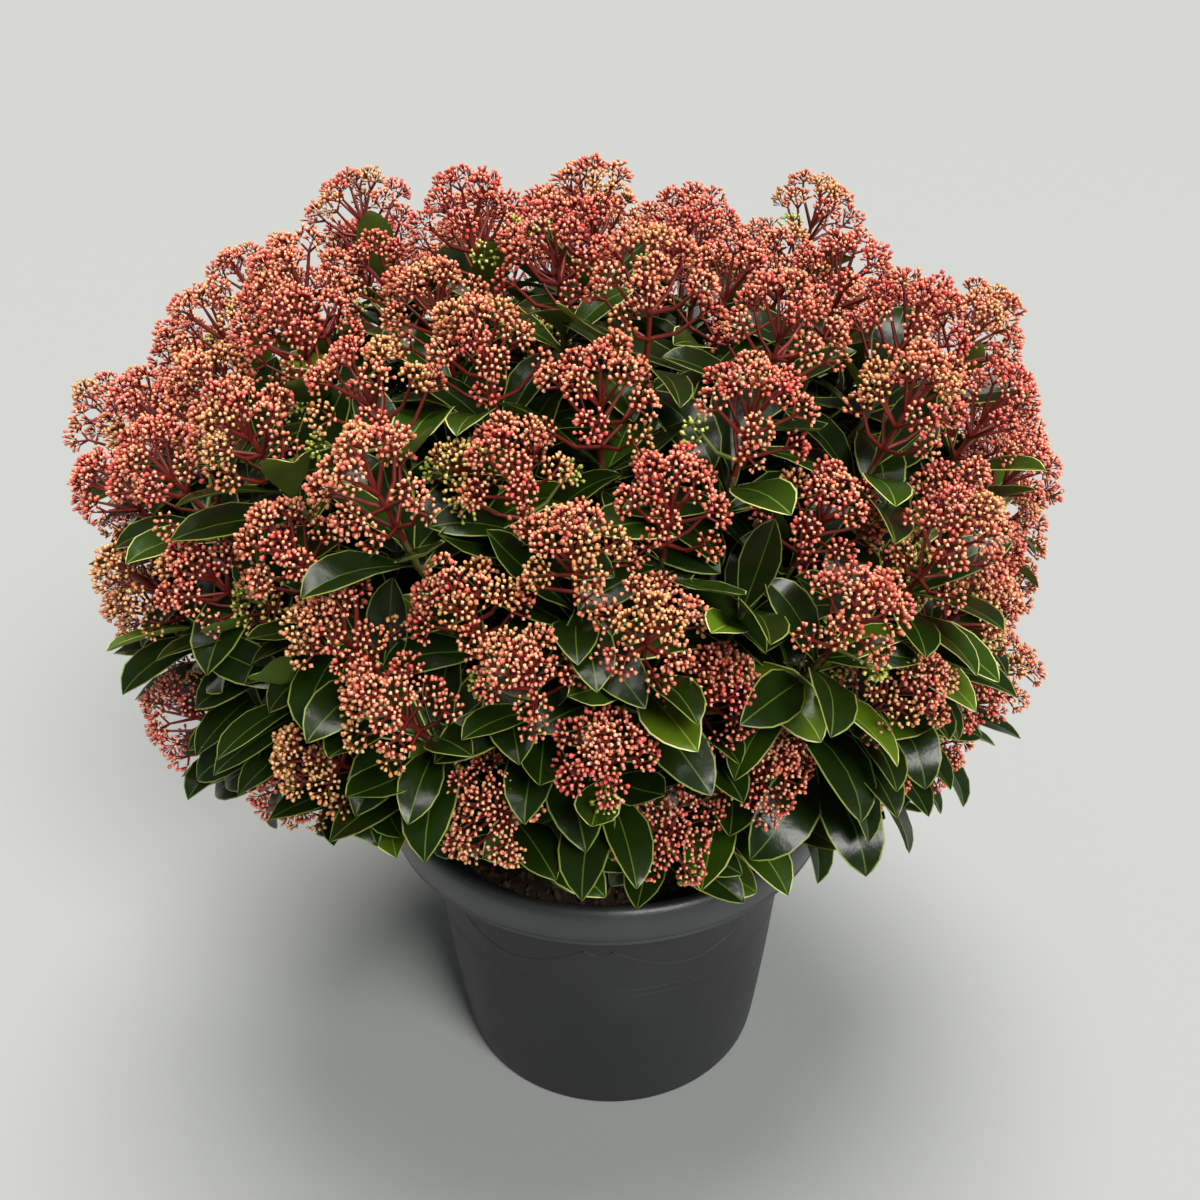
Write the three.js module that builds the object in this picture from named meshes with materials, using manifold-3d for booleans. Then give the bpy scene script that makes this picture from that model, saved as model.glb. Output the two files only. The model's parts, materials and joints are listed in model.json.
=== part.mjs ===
// A skimmia in bud, standing in its round nursery pot: a low dome of leathery leaves
// under dense heads of small round buds. Millimetres, +Z up. The origin is the middle
// of the pot's flat underside, and the side that is seen first faces -Y.

import * as THREE from "three";
import { mergeVertices } from "three/addons/utils/BufferGeometryUtils.js";
import Module from "manifold-3d";

const wasm = await Module();
wasm.setup();

// Pot and soil
const potHeight = 200;
const potFootRadius = 100;
const potShoulderRadius = 115; // the wall's top, where it steps out under the lip
const lipRadius = 139;
const lipInnerRadius = 130;
const lipDepth = 23;
const lipRise = 13; // from the lip's widest level to its top
const lipBulge = 6; // how far that level stands out of the lip's top
const potWall = 3;
const potSwell = 2; // how far the wall stands out of a straight cone
const footBevel = 3;
const ledgeLevel = potHeight - lipDepth + potWall; // inside, where the lip stands on the wall
const potSides = 32;
const soilBelowRim = 25;
const seatGap = 0.3; // between two pieces that touch on the real plant

// Stem: a short stool that all the boughs spring from
const stemFootRadius = 18;
const stemNeckRadius = 9;
const stemLean = 5; // how far its foot stands to the right of the heart
const stemSides = 9;
const boughSides = 6;
const boughBow = 3; // how far a bough bends aside at most
const knobRadius = 17;
const heart = new THREE.Vector3(0, 0, 222); // middle of the knob

// Crown: an egg with its blunt end down, seen by where the heads of buds end
const crownHalfWidth = 268;
const crownHalfDepth = 222;
const crownMiddle = new THREE.Vector3(-17, 12, 398); // at its widest level
const crownRise = 162; // from the widest level to the top
const skirtDepth = 290; // half height of the egg's lower part
const skirtPolar = 122; // degrees round the egg that the heads go
const frontTuck = 12; // degrees that they stop short of it in front
const crownTurn = 5.23; // radians, where the spiral of shoots starts
const tipScatter = 20; // a head stands this much out of the egg, or short of it
const tipSeed = 113; // picks which heads stand out

// Growth
const massCount = 18;
const shootCount = 140;
const boughShare = 0.4; // of the way from the heart to the crown's skin
const boughFootRadius = 3;
const boughTipRadius = 2.5;
const massStemLength = 14;
const twigFootRadius = 2.1;
const twigTipRadius = 1.4;
const shootUpturn = 0.45; // how far a shoot turns from straight outwards to upright
const twigDrops = [25, 45, 65, 85]; // from a head's foot to its twig's bend, tried in turn
const headLength = 64;
const headRadius = 28;
const headVariety = 0.1; // of the radius, more or less
const headLobes = 3;
const headFits = [1, 0.88, 0.76, 0.64]; // of the full width, tried in turn
const leavesPerShoot = 3;
const leafLength = 80;
const leafWidth = 28;
const leafThickness = 1.8;
const leafWidest = 0.56; // of its length from its root
const leafKeel = 3; // how far its edges stand up from the midrib
const leafDroop = 0.08; // of its length, that its tip bends down
const leafStep = 15; // from one leaf to the next down the twig
const leafFits = [1, 0.8]; // of the full length, tried in turn
const leafLeans = [80, 66, 54, 43, 33, 25]; // degrees from the twig, tried in turn
const leafShifts = [0, 22, -22, 44, -44, 66]; // degrees round the twig, tried in turn
const spaceMargin = 1; // left free along the edge of each mass's space
const rimMargin = 5; // left free round the pot's lip
const lowestLeaf = 190; // no leaf hangs lower
const seamTolerance = 0.3; // slivers thinner than this close up along a mass's seams
const goldenAngle = Math.PI * (3 - Math.sqrt(5));

const up = new THREE.Vector3(0, 0, 1);
const { degToRad } = THREE.MathUtils;

// A number from 0 to 1 that looks random and is the same each time
function dice(index, channel) {
  const wave = Math.sin(index * 12.9898 + channel * 78.233) * 43758.5453;
  return wave - Math.floor(wave);
}

function scatter(index, channel, reach) {
  return (dice(index, channel) * 2 - 1) * reach;
}

// A point on the crown's skin, by its turn round Z and its angle down from the top
function crownPoint(turn, polar) {
  const rise = Math.cos(polar);
  const girth = Math.sin(polar);
  return new THREE.Vector3(
    crownMiddle.x + crownHalfWidth * girth * Math.cos(turn),
    crownMiddle.y + crownHalfDepth * girth * Math.sin(turn),
    crownMiddle.z + (rise > 0 ? crownRise : skirtDepth) * rise,
  );
}

// Points dealt evenly over the crown's skin, on a spiral from the top to the skirt
function crownSpiral(count) {
  return Array.from({ length: count }, (_, i) => {
    const turn = crownTurn + i * goldenAngle;
    const lowest = degToRad(skirtPolar - frontTuck * Math.max(0, -Math.sin(turn)));
    const polar = Math.acos(1 - ((1 - Math.cos(lowest)) * (i + 0.5)) / count);
    return crownPoint(turn, polar);
  });
}

function outward(point) {
  return point.clone().sub(heart).normalize();
}

// Each shoot ends in a head of buds; it belongs to the mass whose direction is nearest
function dealShoots() {
  const centres = crownSpiral(massCount).map(outward);
  const shoots = crownSpiral(shootCount).map((skin, i) => {
    const facing = outward(skin);
    const tip = skin.addScaledVector(facing, scatter(i, tipSeed, tipScatter));
    const nearest = centres.map((centre) => centre.dot(facing));
    return { index: i, tip, facing, mass: nearest.indexOf(Math.max(...nearest)) };
  });
  return shoots;
}

const shoots = dealShoots();
const masses = Array.from({ length: massCount }, (_, m) => {
  const own = shoots.filter((shoot) => shoot.mass === m);
  const facing = own.reduce((sum, shoot) => sum.add(shoot.facing), new THREE.Vector3()).normalize();
  const reach = own.reduce((sum, shoot) => sum + shoot.tip.distanceTo(heart), 0) / own.length;
  const boughEnd = heart.clone().addScaledVector(facing, reach * boughShare);
  return { index: m, shoots: own, facing, boughEnd };
});

// How far a point lies inside a mass's own space, which is every direction from the
// heart that is nearer to one of its shoots than to any shoot of another mass
function depthInSpace(point, massIndex) {
  const ray = point.clone().sub(heart);
  let own = null;
  let other = null;
  for (const shoot of shoots) {
    const along = ray.dot(shoot.facing);
    if (shoot.mass === massIndex) {
      if (!own || along > own.along) own = { along, facing: shoot.facing };
    } else if (!other || along > other.along) {
      other = { along, facing: shoot.facing };
    }
  }
  return (own.along - other.along) / own.facing.distanceTo(other.facing);
}

// Whether every point keeps to the mass's space, clear of its bough and of the pot;
// radius is that of a limb whose middle the points follow
function hasRoom(points, mass, radius = 0) {
  return points.every((point) => {
    const pastBough = point.clone().sub(mass.boughEnd).dot(mass.facing) > massStemLength / 2;
    const girth = Math.hypot(point.x, point.y);
    const offPot = point.z > potHeight + rimMargin || girth > lipRadius + rimMargin;
    const high = point.z > lowestLeaf;
    const inSpace = depthInSpace(point, mass.index) > spaceMargin + radius;
    return pastBough && offPot && high && inSpace;
  });
}

function meshedShape(points, triangles) {
  const shape = new THREE.BufferGeometry().setFromPoints(points);
  shape.setIndex(triangles);
  return shape;
}

// A tapering limb through the points, with its radius at each
function limbShape(points, radii, sides) {
  const rings = [];
  let across = Math.abs(points[1].clone().sub(points[0]).normalize().z) > 0.9
    ? new THREE.Vector3(1, 0, 0)
    : up.clone();
  points.forEach((point, i) => {
    const before = points[Math.max(i - 1, 0)];
    const after = points[Math.min(i + 1, points.length - 1)];
    const along = after.clone().sub(before).normalize();
    across = across.clone().addScaledVector(along, -across.dot(along)).normalize();
    const beside = along.clone().cross(across);
    for (let side = 0; side < sides; side += 1) {
      const turn = (side / sides) * Math.PI * 2;
      rings.push(
        point.clone()
          .addScaledVector(across, Math.cos(turn) * radii[i])
          .addScaledVector(beside, Math.sin(turn) * radii[i]),
      );
    }
  });
  const triangles = [];
  for (let ring = 0; ring < points.length - 1; ring += 1) {
    for (let side = 0; side < sides; side += 1) {
      const a = ring * sides + side;
      const b = ring * sides + ((side + 1) % sides);
      triangles.push(a, b, a + sides, b, b + sides, a + sides);
    }
  }
  const last = (points.length - 1) * sides;
  for (let side = 1; side < sides - 1; side += 1) {
    triangles.push(0, side + 1, side, last, last + side, last + side + 1);
  }
  return meshedShape(rings, triangles);
}

// A head of buds: a dome with lobes round it, on a cone that narrows to its twig
function headPoints(line, radius, firstTurn) {
  const across = new THREE.Vector3(line.axis.y, -line.axis.x, 0).normalize();
  const at = (share) => line.foot.clone().addScaledVector(line.axis, headLength * share);
  const sides = headLobes * 2;
  const ring = (levels, girths) => Array.from({ length: sides }, (_, k) => {
    const turn = firstTurn + (k / sides) * Math.PI * 2;
    const side = across.clone().applyAxisAngle(line.axis, turn);
    return at(levels[k % 2]).addScaledVector(side, radius * girths[k % 2]);
  });
  return [at(0.1), at(1), ...ring([0.5, 0.6], [1, 0.74]), ...ring([0.84, 0.92], [0.76, 0.48])];
}

function headShape(points) {
  const sides = headLobes * 2;
  const triangles = [];
  for (let k = 0; k < sides; k += 1) {
    const low = 2 + k;
    const nextLow = 2 + ((k + 1) % sides);
    const high = low + sides;
    const nextHigh = nextLow + sides;
    triangles.push(0, nextLow, low, 1, high, nextHigh);
    triangles.push(low, nextLow, high, nextLow, nextHigh, high);
  }
  return meshedShape(points, triangles);
}

// A leaf: root, tip, two edges that stand a little up from the midrib, face and back
function leafPoints(root, along, face, length) {
  const across = face.clone().cross(along);
  const belly = root.clone().addScaledVector(along, length * leafWidest);
  const lifted = belly.clone().addScaledVector(face, leafKeel);
  const width = (leafWidth * length) / leafLength;
  return [
    root,
    root.clone().addScaledVector(along, length).addScaledVector(face, -length * leafDroop),
    lifted.clone().addScaledVector(across, width / 2),
    lifted.clone().addScaledVector(across, -width / 2),
    belly.clone().addScaledVector(face, leafThickness / 2),
    belly.clone().addScaledVector(face, -leafThickness / 2),
  ];
}

function leafShape(points) {
  return meshedShape(points, [
    0, 4, 2, 0, 3, 4, 1, 2, 4, 1, 4, 3, 0, 2, 5, 0, 5, 3, 1, 5, 2, 1, 3, 5,
  ]);
}

function solidOf(shape) {
  const bare = new THREE.BufferGeometry();
  bare.setAttribute("position", shape.getAttribute("position"));
  bare.setIndex(shape.index);
  const merged = mergeVertices(bare, 1e-4);
  const mesh = new wasm.Mesh({
    numProp: 3,
    vertProperties: merged.getAttribute("position").array,
    triVerts: Uint32Array.from(merged.index.array),
  });
  return new wasm.Manifold(mesh);
}

function shapeOf(solid) {
  const mesh = solid.getMesh();
  const shape = new THREE.BufferGeometry();
  shape.setAttribute("position", new THREE.BufferAttribute(mesh.vertProperties, 3));
  shape.setIndex(new THREE.BufferAttribute(mesh.triVerts, 1));
  return shape;
}

function touches(solid, other) {
  const a = solid.boundingBox();
  const b = other.boundingBox();
  const apart = [0, 1, 2].some((i) => a.min[i] > b.max[i] || b.min[i] > a.max[i]);
  return !apart && !solid.intersect(other).isEmpty();
}

// The first of the tried forms that has room and touches nothing but its own twig
function grow(tries, mass, grown, ownTwig) {
  for (const { points, shape } of tries) {
    if (!hasRoom(points, mass)) continue;
    const solid = solidOf(shape);
    if (!grown.some((other) => other !== ownTwig && touches(solid, other))) {
      grown.push(solid);
      return;
    }
  }
}

// A shoot's own line: the foot of its head, the way its head points, and the bend
// below it where its twig turns towards the mass's stem
function shootLine(shoot, mass, upturn, drop) {
  const axis = shoot.facing.clone().addScaledVector(up, upturn).normalize();
  const foot = shoot.tip.clone().addScaledVector(axis, -headLength);
  const bend = foot.clone().addScaledVector(axis, -drop);
  const start = mass.boughEnd.clone().addScaledVector(mass.facing, massStemLength * 0.6);
  const end = foot.clone().addScaledVector(axis, headLength * 0.6);
  return { axis, foot, twig: [start, bend, end] };
}

// A shoot stands as upright as its mass's space allows
function settleShoot(shoot, mass) {
  for (const easing of [1, 0.75, 0.5, 0.25, 0]) {
    for (const drop of twigDrops) {
      const line = shootLine(shoot, mass, shootUpturn * easing, drop);
      const [start, bend] = line.twig;
      const way = [0.3, 0.5, 0.7, 0.85].map((share) => start.clone().lerp(bend, share));
      if (hasRoom([line.foot, bend, ...way], mass, twigFootRadius)) return line;
    }
  }
  return shootLine(shoot, mass, 0, twigDrops[0]);
}

// The head of a shoot, given as the forms to try, the fullest first
function headTries(shoot, line) {
  const radius = headRadius * (1 + scatter(shoot.index, 3, headVariety));
  return [headFits.map((fit) => {
    const points = headPoints(line, radius * fit, dice(shoot.index, 2) * Math.PI);
    return { points, shape: headShape(points) };
  })];
}

// A leaf on the shoot's twig, turned round it and leaning from it by the given angles
function leafForm(line, root, turn, lean, length) {
  const across = new THREE.Vector3(line.axis.y, -line.axis.x, 0).normalize();
  const side = across.applyAxisAngle(line.axis, turn);
  const along = line.axis.clone().multiplyScalar(Math.cos(lean));
  along.addScaledVector(side, Math.sin(lean));
  const face = line.axis.clone().multiplyScalar(Math.sin(lean));
  face.addScaledVector(side, -Math.cos(lean));
  const sunk = root.clone().addScaledVector(along, -twigTipRadius * 2);
  const points = leafPoints(sunk, along, face, length);
  const midrib = [0.25, 0.5, 0.75].map((share) => sunk.clone().lerp(points[1], share));
  return { points: [...points.slice(1), ...midrib], shape: leafShape(points) };
}

// Leaves round the twig under the head, each given as the forms to try: the longest
// first, then the most spread, then the nearest to its own turn in the whorl
function leafTries(shoot, line) {
  return Array.from({ length: leavesPerShoot }, (_, k) => {
    const turn = (k / leavesPerShoot + dice(shoot.index, 4)) * Math.PI * 2;
    const root = line.foot.clone().addScaledVector(line.axis, -leafStep * (k + 0.3));
    return leafFits.flatMap((fit) => leafLeans.flatMap((lean) => leafShifts.map((shift) => {
      return leafForm(line, root, turn + degToRad(shift), degToRad(lean), leafLength * fit);
    })));
  });
}

// One mass of the crown: a short stem, its twigs, and their leaves and heads of buds
function massShape(mass) {
  const stemStart = mass.boughEnd.clone().addScaledVector(mass.facing, seatGap);
  const stemEnd = mass.boughEnd.clone().addScaledVector(mass.facing, massStemLength);
  const stem = solidOf(limbShape([stemStart, stemEnd], [boughTipRadius, boughTipRadius], boughSides));
  const radii = [twigFootRadius, (twigFootRadius + twigTipRadius) / 2, twigTipRadius];
  const lines = mass.shoots.map((shoot) => settleShoot(shoot, mass));
  const twigs = lines.map((line) => solidOf(limbShape(line.twig, radii, 3)));
  const grown = [...twigs];
  for (const triesFor of [headTries, leafTries]) {
    mass.shoots.forEach((shoot, i) => {
      triesFor(shoot, lines[i]).forEach((tries) => grow(tries, mass, grown, twigs[i]));
    });
  }
  const whole = grown.reduce((sum, piece) => sum.add(piece), stem);
  const bodies = whole.asOriginal().simplify(seamTolerance).decompose();
  bodies.sort((a, b) => b.volume() - a.volume());
  return shapeOf(bodies[0]);
}

// A bough: it springs from the knob and bows a little on its way to its mass
function boughShape(mass, knob) {
  const start = heart.clone().addScaledVector(mass.facing, knobRadius * 0.8);
  const bow = mass.facing.clone().cross(up).normalize().multiplyScalar(scatter(mass.index, 5, boughBow));
  const points = [0, 0.35, 0.7, 1].map((share) => {
    const point = start.clone().lerp(mass.boughEnd, share);
    return point.addScaledVector(bow, Math.sin(share * Math.PI));
  });
  const radii = [0, 0.35, 0.7, 1].map((share) => {
    return boughFootRadius + (boughTipRadius - boughFootRadius) * share;
  });
  return shapeOf(solidOf(limbShape(points, radii, boughSides)).subtract(knob));
}

// The stem, from its flat foot on the soil to the knob; grown makes it fatter all round
function stemSolid(grown) {
  const foot = potHeight - soilBelowRim + seatGap;
  const levels = [0, 5, 13, 27, 40];
  const radii = [stemFootRadius, stemFootRadius * 0.7, stemNeckRadius * 1.1, stemNeckRadius, 12];
  const points = levels.map((level) => {
    const share = Math.max(level - levels[1], 0) / (heart.z - foot - levels[1]);
    return new THREE.Vector3(stemLean * (1 - share), 0, foot + level);
  });
  const trunk = solidOf(limbShape(points, radii.map((radius) => radius + grown), stemSides));
  const knob = solidOf(new THREE.IcosahedronGeometry(knobRadius + grown, 1).translate(...heart));
  return trunk.add(knob);
}

// The pot: a flat foot, a wall that swells a little, and a rolled lip that stands out
// of it on a ledge, rounded at its top and sharp at its lower edge
function potShape() {
  const lipFoot = potHeight - lipDepth;
  const outline = [
    [0, 0],
    [potFootRadius - footBevel, 0],
    [potFootRadius, footBevel],
  ];
  for (const share of [0.35, 0.7, 1]) {
    const swell = potSwell * Math.sin(share * Math.PI);
    const girth = potFootRadius + (potShoulderRadius - potFootRadius) * share + swell;
    outline.push([girth, footBevel + (lipFoot - footBevel) * share]);
  }
  const lowest = Math.asin(1 - lipDepth / lipRise);
  const highest = degToRad(80);
  for (const share of [0, 0.25, 0.5, 0.75, 1]) {
    const turn = lowest + (highest - lowest) * share;
    const level = potHeight - lipRise + lipRise * Math.sin(turn);
    outline.push([lipRadius - lipBulge + lipBulge * Math.cos(turn), level]);
  }
  outline.push([lipInnerRadius, potHeight - 2], [lipInnerRadius, ledgeLevel]);
  outline.push([potShoulderRadius - potWall, ledgeLevel], [potFootRadius - potWall, potWall], [0, potWall]);
  const profile = outline.map(([girth, level]) => new THREE.Vector2(girth, level));
  return new THREE.LatheGeometry(profile, potSides).rotateX(Math.PI / 2);
}

// The soil fills the pot to a little below its rim, clear of the wall by the seat gap
function soilShape() {
  const bottom = potWall + seatGap;
  const level = potHeight - soilBelowRim;
  const girth = (z) => {
    const share = (z - potWall) / (ledgeLevel - potWall);
    return potFootRadius - potWall + (potShoulderRadius - potFootRadius) * share - seatGap * 2;
  };
  const profile = [
    new THREE.Vector2(0, bottom),
    new THREE.Vector2(girth(bottom), bottom),
    new THREE.Vector2(girth(level), level),
    new THREE.Vector2(0, level),
  ];
  return new THREE.LatheGeometry(profile, potSides).rotateX(Math.PI / 2);
}

function finish(color, roughness) {
  return new THREE.MeshStandardMaterial({ color, roughness, metalness: 0 });
}

const plant = new THREE.Group();

function place(name, shape, material) {
  const mesh = new THREE.Mesh(shape, material);
  mesh.name = name;
  plant.add(mesh);
}

const numbered = (name, mass) => `${name}_${String(mass.index + 1).padStart(2, "0")}`;
const stemRoom = stemSolid(seatGap);

place("pot", potShape(), finish(0x35383a, 0.55));
place("soil", soilShape(), finish(0x2a2018, 0.95));
place("stem", shapeOf(stemSolid(0)), finish(0x5a4a36, 0.85));
for (const mass of masses) {
  place(numbered("bough", mass), boughShape(mass, stemRoom), finish(0x5c5a38, 0.8));
  place(numbered("mass", mass), massShape(mass), finish(0x8a4a3a, 0.6));
}

export default plant;
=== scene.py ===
import itertools
import json
import random
from functools import partial
from math import acos, asin, ceil, cos, floor, pi, radians, sin, sqrt, tau

import bmesh
import bpy
import numpy as np
from mathutils import Matrix, Vector, noise

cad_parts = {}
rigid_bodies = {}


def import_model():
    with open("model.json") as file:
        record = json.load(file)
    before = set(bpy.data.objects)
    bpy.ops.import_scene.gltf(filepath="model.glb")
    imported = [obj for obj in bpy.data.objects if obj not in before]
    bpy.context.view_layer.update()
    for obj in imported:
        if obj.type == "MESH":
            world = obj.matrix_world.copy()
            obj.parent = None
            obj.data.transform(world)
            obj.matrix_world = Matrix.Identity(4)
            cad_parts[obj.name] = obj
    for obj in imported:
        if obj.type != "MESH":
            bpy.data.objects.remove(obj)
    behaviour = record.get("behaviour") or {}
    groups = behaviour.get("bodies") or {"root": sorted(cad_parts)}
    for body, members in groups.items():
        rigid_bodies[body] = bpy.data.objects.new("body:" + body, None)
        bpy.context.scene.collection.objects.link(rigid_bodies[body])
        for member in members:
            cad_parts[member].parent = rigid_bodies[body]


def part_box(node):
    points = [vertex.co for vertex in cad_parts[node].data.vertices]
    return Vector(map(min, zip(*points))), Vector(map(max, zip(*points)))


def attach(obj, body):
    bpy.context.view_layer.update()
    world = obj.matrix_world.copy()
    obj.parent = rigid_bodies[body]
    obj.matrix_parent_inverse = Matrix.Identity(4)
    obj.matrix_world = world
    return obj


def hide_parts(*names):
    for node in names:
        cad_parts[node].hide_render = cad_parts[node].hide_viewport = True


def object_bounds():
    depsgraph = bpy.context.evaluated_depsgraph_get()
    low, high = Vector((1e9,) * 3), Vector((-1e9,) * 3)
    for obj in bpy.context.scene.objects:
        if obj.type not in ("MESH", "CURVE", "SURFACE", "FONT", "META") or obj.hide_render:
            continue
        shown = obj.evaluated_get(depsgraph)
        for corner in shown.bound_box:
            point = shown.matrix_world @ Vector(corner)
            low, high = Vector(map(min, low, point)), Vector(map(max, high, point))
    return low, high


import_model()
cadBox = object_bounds()
scene = bpy.context.scene
up = Vector((0, 0, 1))
goldenAngle = pi * (3 - sqrt(5))


def tone(colour):  # from 0 to 255 on a screen to a shader's linear numbers
    shares = [channel / 255 for channel in colour]
    linear = [s / 12.92 if s <= 0.04045 else ((s + 0.055) / 1.055) ** 2.4 for s in shares]
    return (*linear, 1.0)


def clamp(share):
    return min(max(share, 0), 1)


def between(low, high, share):
    return low + (high - low) * share


def addObject(name, data):
    made = bpy.data.objects.new(name, data)
    scene.collection.objects.link(made)
    return made


def newMesh(name, points, edges=(), faces=()):
    mesh = bpy.data.meshes.new(name)
    mesh.from_pydata(points, edges, faces)
    return mesh


# Camera, floor and light

studio = {
    "eye": (-0.0032, -0.618, 0.6615),
    "lookDown": 29.2,  # degrees under the horizon
    "roll": -0.95,
    "lens": 36.06,
    "floorSize": 90,
    "floorColour": (163, 166, 165),
    "floorRoughness": 0.9,
    "skyColour": (222, 226, 228),
    "skyStrength": 0.19,
    # name, where it shines from, strength, softness in degrees, colour
    "lamps": (
        ("ceilingLight", (0.05, 0.1, 1.0), 3.4, 34, (255, 251, 246)),
        ("windowLight", (0.45, -0.75, 0.8), 2.85, 24, (255, 253, 250)),
    ),
}


def buildStudio():
    lens = bpy.data.cameras.new("camera")
    lens.lens = studio["lens"]
    tilt = Matrix.Rotation(radians(90 - studio["lookDown"]), 4, "X")
    roll = Matrix.Rotation(radians(studio["roll"]), 4, "Z")
    camera = addObject("camera", lens)
    camera.matrix_world = Matrix.Translation(studio["eye"]) @ tilt @ roll
    scene.camera = camera

    half = studio["floorSize"] / 2
    corners = [(x * half, y * half, 0) for x, y in ((-1, -1), (1, -1), (1, 1), (-1, 1))]
    mesh = newMesh("floor", corners, faces=[(0, 1, 2, 3)])
    finish = newFinish("paleFloor", "plain", [studio["floorColour"]], [studio["floorRoughness"]])
    mesh.materials.append(finish)
    addObject("floor", mesh)

    world = bpy.data.worlds.new("softSky")
    world.use_nodes = True
    sky = {"Color": tone(studio["skyColour"]), "Strength": studio["skyStrength"]}
    plug(world.node_tree.nodes["Background"], sky)
    scene.world = world

    for name, place, strength, softness, colour in studio["lamps"]:
        light = bpy.data.lights.new(name, "SUN")
        light.energy = strength
        light.angle = radians(softness)
        light.color = tone(colour)[:3]
        lamp = addObject(name, light)
        lamp.location = place
        lamp.rotation_euler = (-Vector(place)).to_track_quat("-Z", "Y").to_euler()
    scene.view_settings.view_transform = "Standard"
    print("studio ready")


# Materials

# noise of each surface: waves to a metre, detail, and share of those waves up its height;
# tones take the named span of it
grains = {
    "plastic": {
        "tones": (14, 6, 1), "span": (0.35, 0.65), "wear": (60, 5, 1),
        "relief": (900, 2, 1), "depth": 0.00012,
    },
    "earth": {"tones": (160, 5, 1), "span": (0.35, 0.62), "relief": (1400, 4, 1), "depth": 0.0006},
    "bark": {"tones": (90, 6, 0.25), "span": (0.35, 0.68), "relief": (900, 5, 0.3), "depth": 0.0004},
    "stalk": {"relief": (2500, 2, 1), "depth": 0.0001},
    "leaf": {"relief": (170, 2, 1), "depth": 0.00025},
    "plain": {},
}


def plug(node, inputs):  # values, sockets, or nodes that stand for their own result
    for name, value in inputs.items():
        if isinstance(value, bpy.types.Node):
            value = next(socket for socket in value.outputs if socket.enabled)
        if isinstance(value, bpy.types.NodeSocket):
            node.id_data.links.new(value, node.inputs[name])
        else:
            node.inputs[name].default_value = value


def addNode(tree, kind, inputs=None, **settings):
    node = tree.nodes.new(kind)
    for name, value in settings.items():
        setattr(node, name, value)
    plug(node, inputs or {})
    return node


def newFinish(name, kind, tones, roughness, sheen=0.5):  # a second tone and roughness are for its grain
    material = bpy.data.materials.new(name)
    material.use_nodes = True
    add = partial(addNode, material.node_tree)
    shader = material.node_tree.nodes["Principled BSDF"]
    plug(shader, {"Base Color": tone(tones[0]), "Roughness": roughness[0], "Specular IOR Level": sheen})
    grain = grains[kind]

    def addNoise(use):  # it stays fixed to the piece
        scale, detail, upright = grain[use]
        place = add("ShaderNodeTexCoord").outputs["Object"]
        scaled = add("ShaderNodeMapping", {"Vector": place, "Scale": (1, 1, upright)})
        return add("ShaderNodeTexNoise", {"Vector": scaled, "Scale": scale, "Detail": detail})

    if "tones" in grain:
        ramp = add("ShaderNodeValToRGB", {"Fac": addNoise("tones")})
        for element, place, colour in zip(ramp.color_ramp.elements, grain["span"], tones):
            element.position = place
            element.color = tone(colour)
        plug(shader, {"Base Color": ramp})
    if "wear" in grain:
        least, most = roughness
        wear = add("ShaderNodeMapRange", {"Value": addNoise("wear"), "To Min": least, "To Max": most})
        plug(shader, {"Roughness": wear})
    if "relief" in grain:
        bump = add("ShaderNodeBump", {"Height": addNoise("relief"), "Distance": grain["depth"]})
        plug(shader, {"Normal": bump})
    return material


# Geometry Nodes

# what raw meshes say of their points and faces
fields = {
    "along": "FLOAT_VECTOR",
    "facing": "FLOAT_VECTOR",
    "size": "FLOAT",
    "form": "INT",
    "part": "INT",
    "thickness": "FLOAT",
}
dealSockets = {"Shapes": "Collection", "Smallest": "Float", "Largest": "Float", "Seed": "Int"}


def writeField(mesh, name, values):
    kind = fields[name]
    numbers = np.asarray(values, dtype=np.int32 if kind == "INT" else np.float32).ravel()
    attribute = mesh.attributes.new(name, kind, "POINT")
    attribute.data.foreach_set("vector" if kind == "FLOAT_VECTOR" else "value", numbers)


def readField(add, name):
    return add("GeometryNodeInputNamedAttribute", {"Name": name}, data_type=fields[name])


def newTree(name, sockets):
    tree = bpy.data.node_groups.new(name, "GeometryNodeTree")
    for way in ("INPUT", "OUTPUT"):
        tree.interface.new_socket("Geometry", in_out=way, socket_type="NodeSocketGeometry")
    for label, kind in sockets.items():
        tree.interface.new_socket(label, in_out="INPUT", socket_type="NodeSocket" + kind)
    add = partial(addNode, tree)
    return tree, add, add("NodeGroupInput").outputs


def dress(add, geometry, finish, chosen=True):
    return add("GeometryNodeSetMaterial", {"Geometry": geometry, "Selection": chosen, "Material": finish})


def limbTree():  # a tapering limb along each line of edges, as thick as its points say
    tree, add, start = newTree("taperingLimbs", {"Sides": "Int", "Step": "Float", "Finish": "Material"})
    line = add("GeometryNodeMeshToCurve", {"Mesh": start["Geometry"]})
    rounded = add("GeometryNodeCurveSplineType", {"Curve": line}, spline_type="CATMULL_ROM")
    cut = add("GeometryNodeResampleCurve", {"Curve": rounded, "Length": start["Step"]}, mode="LENGTH")
    circle = add("GeometryNodeCurvePrimitiveCircle", {"Resolution": start["Sides"], "Radius": 1.0})
    skin = add("GeometryNodeCurveToMesh", {
        "Curve": cut, "Profile Curve": circle, "Scale": readField(add, "thickness"), "Fill Caps": True,
    })
    smooth = add("GeometryNodeSetShadeSmooth", {"Geometry": skin})
    real = add("GeometryNodeRealizeInstances", {"Geometry": smooth})
    add("NodeGroupOutput", {"Geometry": dress(add, real, start["Finish"])})
    return tree


def anySize(add, start):
    return add("FunctionNodeRandomValue", {
        2: start["Smallest"], 3: start["Largest"], "Seed": start["Seed"],
    }, data_type="FLOAT")


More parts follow.
